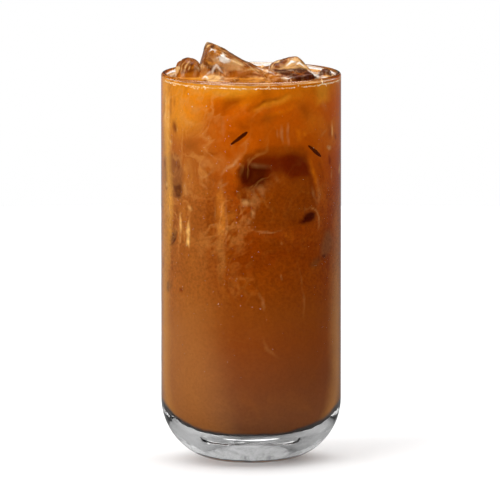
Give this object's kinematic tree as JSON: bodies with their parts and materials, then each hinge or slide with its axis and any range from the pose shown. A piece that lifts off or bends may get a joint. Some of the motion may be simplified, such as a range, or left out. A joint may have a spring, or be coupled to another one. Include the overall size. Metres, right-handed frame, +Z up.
{
  "type": "iced coffee",
  "caption": "Tall straight clear tumbler with a heavy rounded base, full of milky iced coffee, with blocks of ice standing up at the rim.",
  "frame": {"origin": "centre of the flat foot of the glass, on the surface it stands on", "axes": "+Z up along the axis of the glass, -Y towards the viewer, +X to the viewer's right"},
  "size_m": [0.072, 0.072, 0.1673],
  "materials": {
    "glass": "clear, polished",
    "coffee": "milky brown liquid, amber at the top and darker below",
    "ice": "wet clear ice with a coffee tint"
  },
  "bodies": {
    "root": {"glass": "glass", "coffee": "coffee", "ice_peak": "ice", "ice_left": "ice", "ice_left_chip": "ice", "ice_front_left": "ice", "ice_front_chip": "ice", "ice_front_right": "ice", "ice_right": "ice", "ice_right_chip": "ice", "ice_back_left": "ice", "ice_back_right": "ice"}
  },
  "joints": []
}
